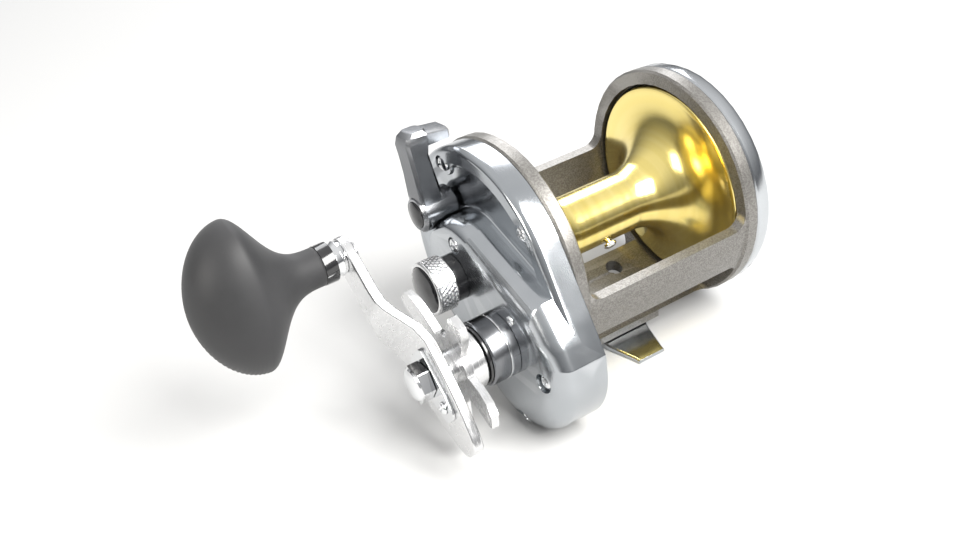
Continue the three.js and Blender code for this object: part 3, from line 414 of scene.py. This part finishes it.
def new_piece(name, verts, faces, slot, body, replaces=()):
    mesh = bpy.data.meshes.new(name)
    mesh.from_pydata(verts, [], faces)
    mesh.validate()
    mesh.update()
    for polygon in mesh.polygons:
        polygon.use_smooth = True
    piece = bpy.data.objects.new(name, mesh)
    bpy.context.scene.collection.objects.link(piece)
    mesh.materials.append(MATERIALS[slot])
    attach(piece, body)
    if replaces:
        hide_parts(*replaces)
    return piece


def body_holding(node):
    for body, names in frame["record"]["behaviour"]["bodies"].items():
        if node in names:
            return body
    raise KeyError(node)


def ring_faces(rings, count, closed_profile):
    faces = []
    last = rings if closed_profile else rings - 1
    for i in range(last):
        j = (i + 1) % rings
        for k in range(count):
            m = (k + 1) % count
            faces.append((i * count + k, i * count + m, j * count + m, j * count + k))
    return faces


def turned_piece(name, profile, axis, slot, body, replaces=(), count=128, radius_at=None):
    """A lathe piece about a line parallel to X. profile is [(x, r)], closed on itself."""
    verts = []
    for x, r in profile:
        for k in range(count):
            a = 2 * math.pi * k / count
            rr = radius_at(x, r, a) if radius_at else r
            verts.append((x, axis.y + rr * math.cos(a), axis.z + rr * math.sin(a)))
    piece = new_piece(name, verts, ring_faces(len(profile), count, True), slot, body, replaces)
    face_outward(piece.data)
    return piece


# ---- spool: a smooth trumpet from arbor to flange ----


def build_spool():
    lo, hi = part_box("spool")
    half = (hi[0] - lo[0]) / 2
    rim = (hi[2] - lo[2]) / 2
    flare_end = half - 2.6 * MM
    flare_start = 12.5 * MM
    arbor = 10.6 * MM
    top = rim - 0.7 * MM
    side = []
    for i in range(25):
        phi = i / 24 * math.pi / 2
        x = flare_start + (flare_end - flare_start) * math.sin(phi)
        side.append((x, top - (top - arbor) * math.cos(phi)))
    for i in range(1, 7):
        phi = i / 6 * math.pi
        x = half - 1.3 * MM - 1.3 * MM * math.cos(phi)
        side.append((x, rim - 0.7 * MM + 0.7 * MM * math.sin(phi)))
    side += [(half, 32.8 * MM), (half - 0.5 * MM, 32.3 * MM), (half - 2.1 * MM, 30 * MM),
             (half - 4.6 * MM, 20 * MM), (half - 11 * MM, 9 * MM), (half - 11 * MM, 6.5 * MM),
             (half - 3.5 * MM, 6 * MM), (half - 3.5 * MM, 2.1 * MM)]
    profile = side + [(-x, r) for x, r in reversed(side)]
    spool = turned_piece("spool_gold", profile, SPOOL_AXIS, "gold", "spool_group", ("spool",), 160)
    sharpen(spool.data, 40)


build_spool()

# ---- tension knob: diamond knurl ----


def build_tension_knob():
    lo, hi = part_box("tension_knob")
    x0, x1 = lo[0], hi[0]
    outer = (hi[2] - lo[2]) / 2
    rows = 40
    count = 216
    diamonds = 36

    def knurl(x, r, a):
        if r < outer - 0.25 * MM:
            return r
        share = (x - x0) / (x1 - x0)
        fade = min(1.0, max(0.0, (share - 0.10) / 0.04), max(0.0, (0.90 - share) / 0.04))
        u = a * diamonds / 2
        v = (x - x0) / (1.15 * MM) * math.pi / 2
        height = min(abs(math.sin(u + v)), abs(math.sin(u - v)))
        return r - (1 - height) * 0.34 * MM * fade

    profile = [(x0, 5.0 * MM), (x0, outer - 0.7 * MM), (x0 + 0.25 * MM, outer - 0.32 * MM)]
    for i in range(rows + 1):
        profile.append((x0 + 0.5 * MM + (x1 - x0 - 1.0 * MM) * i / rows, outer))
    profile += [(x1 - 0.2 * MM, outer - 0.3 * MM), (x1, outer - 0.6 * MM), (x1, outer - 1.2 * MM),
                (x1 - 1.3 * MM, outer - 1.25 * MM), (x1 - 1.3 * MM, 0.2 * MM), (x1 - 3.3 * MM, 0.2 * MM),
                (x1 - 3.3 * MM, 5.0 * MM)]
    knob = turned_piece("tension_knob_knurled", profile, SPOOL_AXIS, "bright_aluminium", "tension_group",
                        ("tension_knob",), count, knurl)
    sharpen(knob.data, 50)


build_tension_knob()

# ---- knob grip: round neck, oval paddle, soft dome with small ribs along its lower edge ----
NECK_R = 6.3
PADDLE_HALF_W = 25.3
PADDLE_HALF_T = 16.5
PADDLE_WIDEST = 0.58
PADDLE_ANGLE = math.radians(-80)
DOME_POWER = 1.9
RIB_COUNT = 22
RIB_DEPTH = 0.45


def grip_rows():
    """Rows of (share of length, half width, half thickness, rib depth) from neck to tip."""
    rows = []
    for i in range(28):
        w = PADDLE_WIDEST * i / 28
        scale = (1 - math.cos(math.pi * (w / PADDLE_WIDEST) ** 1.7)) / 2
        wide = NECK_R + (PADDLE_HALF_W - NECK_R) * scale
        thick = NECK_R + (PADDLE_HALF_T - NECK_R) * scale
        rows.append((w, wide, thick, 0.0))
    steps = RIB_COUNT * 5
    for i in range(steps):
        phi = i / steps * math.pi / 2
        along = math.sin(phi) ** (2 / DOME_POWER)
        scale = math.cos(phi) ** (2 / DOME_POWER)
        fade = min(1.0, i / 8, (steps - i) / 30)
        groove = RIB_DEPTH * fade * (0.5 - 0.5 * math.cos(2 * math.pi * i / 5))
        share = PADDLE_WIDEST + (1 - PADDLE_WIDEST) * along
        rows.append((share, PADDLE_HALF_W * scale, PADDLE_HALF_T * scale, groove))
    return rows


def build_grip():
    lo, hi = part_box("knob_grip")
    count = 96
    verts = []
    rows = grip_rows()
    for share, wide, thick, groove in rows:
        for k in range(count):
            a = 2 * math.pi * k / count
            band = max(0.0, math.cos(a)) ** 8
            p = (wide - groove * band) * math.cos(a)
            q = thick * math.sin(a)
            verts.append((
                lo[0] + (hi[0] - lo[0]) * share,
                KNOB_AXIS.y + (p * math.cos(PADDLE_ANGLE) - q * math.sin(PADDLE_ANGLE)) * MM,
                KNOB_AXIS.z + (p * math.sin(PADDLE_ANGLE) + q * math.cos(PADDLE_ANGLE)) * MM))
    faces = ring_faces(len(rows), count, False)
    faces.append(tuple(range(count)))
    faces.append(tuple(reversed(range((len(rows) - 1) * count, len(rows) * count))))
    grip = new_piece("knob_grip_soft", verts, faces, "rubber", "knob_group", ("knob_grip",))
    face_outward(grip.data)


build_grip()

# ---- right side plate: rim, dish and gear case ----
SEAM = 38.0
FACE = SEAM + 18.5
DISH = SEAM + 7.1
RIM_TOP = SEAM + 9.2
AXIS = (0.0, 44.0)
DRIVE = (24.5, 31.2)
LEVER = (-16.5, 61.0)
RIM_CIRCLES = [(0, 44, 41), (40.8, 52.4, 0.6), (53.4, 34.6, 1.4), (29, 26.7, 26.4)]
CASE_BASE = [(2.6, 44.4, 20), (40.6, 52.2, 0.8), (53.2, 34.6, 1.6), (29, 26.7, 26.35)]
CASE_FACE = [(0, 44, 16.2), (33, 35.5, 8.6), (38, 31, 6.5), (28, 27.8, 17.5)]
OUTLINE_POINTS = 240


def outline(circles, x, grow=0.0):
    """The taut outline round a set of circles, one point per normal direction."""
    points = []
    for i in range(OUTLINE_POINTS):
        a = (i + 0.5) / OUTLINE_POINTS * 2 * math.pi
        c, d = math.cos(a), math.sin(a)
        inset = [(y, z, max(r + grow, 0.03)) for y, z, r in circles]
        y, z, r = max(inset, key=lambda q: q[0] * c + q[1] * d + q[2])
        points.append((x * MM, (y + r * c) * MM, (z + r * d) * MM))
    return points


def mixed(a, b, w):
    return [tuple(u + (v - u) * w for u, v in zip(p, q)) for p, q in zip(a, b)]


def bare_object(name, verts, faces):
    mesh = bpy.data.meshes.new(name)
    mesh.from_pydata(verts, [], faces)
    face_outward(mesh)
    piece = bpy.data.objects.new(name, mesh)
    bpy.context.scene.collection.objects.link(piece)
    return piece


def skin(name, sections):
    """A closed piece through a row of sections with equal point counts."""
    count = len(sections[0])
    verts = [p for section in sections for p in section]
    faces = ring_faces(len(sections), count, False)
    faces.append(tuple(range(count)))
    faces.append(tuple(reversed(range((len(sections) - 1) * count, len(sections) * count))))
    return bare_object(name, verts, faces)


def lathe(name, profile, centre, count=96):
    """A closed turned piece about a line parallel to X: profile is [(x, r)] in millimetres."""
    sections = []
    for x, r in profile:
        ring = []
        for k in range(count):
            a = 2 * math.pi * k / count
            ring.append((x * MM, (centre[0] + max(r, 0.001) * math.cos(a)) * MM,
                         (centre[1] + max(r, 0.001) * math.sin(a)) * MM))
        sections.append(ring)
    return skin(name, sections)


def combine(target, tool, operation):
    """Boolean of two objects, leaving the result in target and removing the tool."""
    modifier = target.modifiers.new("combine", "BOOLEAN")
    modifier.operation = operation
    modifier.solver = "EXACT"
    modifier.object = tool
    graph = bpy.context.evaluated_depsgraph_get()
    result = bpy.data.meshes.new_from_object(target.evaluated_get(graph))
    target.modifiers.clear()
    target.data = result
    bpy.data.objects.remove(tool)


RIM_STEPS = [
    # distance from the seam, growth of the outline
    (0.1, -0.4), (0.25, -0.12), (0.5, 0.0), (6.6, 0.0), (7.4, -0.15), (8.1, -0.5), (8.7, -1.0), (9.05, -1.5),
    (RIM_TOP - SEAM, -2.1),
]
SHOULDER_START = SEAM + 12
CAVITIES = [
    # from x, to x, radius, centre: spool side, main gear, drag stack, pinion, bores, lever shaft and seat
    (SEAM + 2, SEAM + 5, 33.5, AXIS), (SEAM + 2, SEAM + 10.4, 24.4, DRIVE), (SEAM + 2, SEAM + 16.6, 17.4, DRIVE),
    (SEAM + 2, SEAM + 16.6, 15.1, AXIS), (SEAM + 10, SEAM + 22, 5.6, AXIS), (SEAM + 10, SEAM + 22, 10.2, DRIVE),
    (SEAM + 2, SEAM + 12, 2.6, LEVER), (DISH + 0.6, SEAM + 24, 7.1, LEVER),
]
SIDE_PLATE_EDGE = 0.25
HEAD_DEPTH = 1.55
SUNK_SCREWS = ("side_screw_front", "side_screw_bottom")
SCREW_LIFT = {}


def build_side_plate():
    rim = skin("side_plate_fine", [outline(RIM_CIRCLES, SEAM + x, grow) for x, grow in RIM_STEPS])
    dish = [(DISH, 0), (DISH, 33.0), (DISH + 0.3, 33.6), (DISH + 1.0, 34.4), (RIM_TOP + 1, 36.6), (RIM_TOP + 1, 0)]
    combine(rim, lathe("tool", dish, AXIS, 160), "DIFFERENCE")
    shoulder = []
    for i in range(15):
        phi = i / 14 * math.pi / 2
        circles = mixed(CASE_BASE, CASE_FACE, 1 - math.cos(phi))
        shoulder.append(outline(circles, SHOULDER_START + (FACE - SHOULDER_START) * math.sin(phi)))
    case = skin("tool", [outline(CASE_BASE, SEAM + 4)] + shoulder)
    combine(rim, case, "UNION")
    combine(rim, skin("tool", [outline(CASE_BASE[:2], SEAM + 4, 1.3), outline(CASE_BASE[:2], DISH + 0.8, 1.3),
                            outline(CASE_BASE[:2], DISH + 1.1, 1.0)]), "UNION")
    seats = {"side_screw_knob": 3.0, "side_screw_top_front": 3.1, "side_screw_top_rear": 3.1,
             "side_screw_front": 3.3, "side_screw_bottom": 3.3}
    heads = {}
    bpy.context.view_layer.update()
    for node in seats:
        lo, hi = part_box(node)
        middle = (Vector(lo) + Vector(hi)) / 2
        if node in SUNK_SCREWS:
            hit, place, _, _ = rim.ray_cast(Vector((0.2, middle.y, middle.z)), Vector((-1, 0, 0)))
            SCREW_LIFT[node] = max(0.0, place.x - hi[0] - 0.6 * MM) if hit else 0.0
        top = hi[0] + SCREW_LIFT.get(node, 0.0)
        heads[node] = (top / MM - HEAD_DEPTH, middle.y / MM, middle.z / MM)
    for node in ("side_screw_top_front", "side_screw_top_rear"):
        x, y, z = heads[node]
        post = [(SEAM + 5, 0), (SEAM + 5, 4.3), (x - 0.3, 4.3), (x, 4.0), (x, 0)]
        combine(rim, lathe("tool", post, (y, z), 48), "UNION")
    opening = skin("tool", [outline([(0, 44, 35.8), (24.5, 31.2, 25.1)], x) for x in (SEAM - 1, SEAM + 2.2)])
    combine(rim, opening, "DIFFERENCE")
    for x0, x1, r, centre in CAVITIES:
        combine(rim, lathe("tool", [(x0, 0), (x0, r), (x1, r), (x1, 0)], centre, 80), "DIFFERENCE")
    for node, r in seats.items():
        x, y, z = heads[node]
        seat = [(x, 0), (x, r), (FACE + 4, r + 0.1), (FACE + 4, 0)]
        combine(rim, lathe("tool", seat, (y, z), 48), "DIFFERENCE")
    sharpen(rim.data, 24)
    rim.data.materials.clear()
    rim.data.materials.append(MATERIALS["plate_metal"])
    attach(rim, "frame_group")
    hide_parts("right_side_plate")
    round_edges(rim, SIDE_PLATE_EDGE)


build_side_plate()

# ---- screws with a cross recess ----


def cross_screw(name, node, side):
    """A pan head with a cross recess, standing in for a plain CAD screw."""
    lo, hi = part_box(node)
    centre = (Vector(lo) + Vector(hi)) / 2
    head_r = (hi[2] - lo[2]) / 2
    top = hi[0] + SCREW_LIFT.get(node, 0.0) if side > 0 else lo[0]
    height = head_r * 0.55
    profile = [(0, 0.001), (0, head_r * 0.94), (height * 0.12, head_r), (height * 0.35, head_r),
               (height * 0.62, head_r * 0.9), (height * 0.85, head_r * 0.68), (height * 0.97, head_r * 0.4),
               (height, head_r * 0.16)]
    count = 40
    bm = bmesh.new()
    rings = []
    for h, r in profile:
        angles = [2 * math.pi * k / count for k in range(count)]
        rings.append([bm.verts.new((h, r * math.cos(a), r * math.sin(a))) for a in angles])
    for a, b in zip(rings, rings[1:]):
        for k in range(count):
            m = (k + 1) % count
            bm.faces.new((a[k], a[m], b[m], b[k]))
    bm.faces.new(rings[-1])
    bm.faces.new(list(reversed(rings[0])))
    bmesh.ops.recalc_face_normals(bm, faces=bm.faces)
    mesh = bpy.data.meshes.new(name)
    bm.to_mesh(mesh)
    bm.free()
    head = bpy.data.objects.new(name, mesh)
    bpy.context.scene.collection.objects.link(head)

    tool_mesh = bpy.data.meshes.new(name + "_tool")
    bm = bmesh.new()
    for turn_by in (0.0, math.pi / 2):
        blade = bmesh.ops.create_cube(bm, size=1.0)["verts"]
        for v in blade:
            deep = v.co.x < 0
            v.co = Vector((height * (0.45 if deep else 1.3), v.co.y * head_r * (0.55 if deep else 1.25),
                           v.co.z * head_r * (0.16 if deep else 0.34)))
        bmesh.ops.rotate(bm, verts=blade, matrix=Matrix.Rotation(turn_by + 0.4, 3, "X"))
    bm.to_mesh(tool_mesh)
    bm.free()
    tool = bpy.data.objects.new(name + "_tool", tool_mesh)
    bpy.context.scene.collection.objects.link(tool)
    cutter = head.modifiers.new("recess", "BOOLEAN")
    cutter.operation = "DIFFERENCE"
    cutter.solver = "EXACT"
    cutter.use_self = True
    cutter.object = tool
    graph = bpy.context.evaluated_depsgraph_get()
    cut_mesh = bpy.data.meshes.new_from_object(head.evaluated_get(graph))
    head.modifiers.clear()
    head.data = cut_mesh
    bpy.data.objects.remove(tool)
    if side < 0:
        head.data.transform(Matrix.Rotation(math.pi, 4, "Z"))
    head.data.transform(Matrix.Translation(Vector((top - side * height, centre.y, centre.z))))
    for polygon in head.data.polygons:
        polygon.use_smooth = True
    head.data.materials.clear()
    head.data.materials.append(MATERIALS["chrome"])
    sharpen(head.data, 35)
    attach(head, body_holding(node))
    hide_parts(node)


for node in ("side_screw_knob", "side_screw_top_front", "side_screw_top_rear", "side_screw_front",
             "side_screw_bottom", "boss_screw", "retainer_screw"):
    cross_screw(node + "_cross", node, 1)
for index in (1, 2, 3, 4):
    cross_screw(f"left_plate_screw_{index}_cross", f"left_plate_screw_{index}", -1)
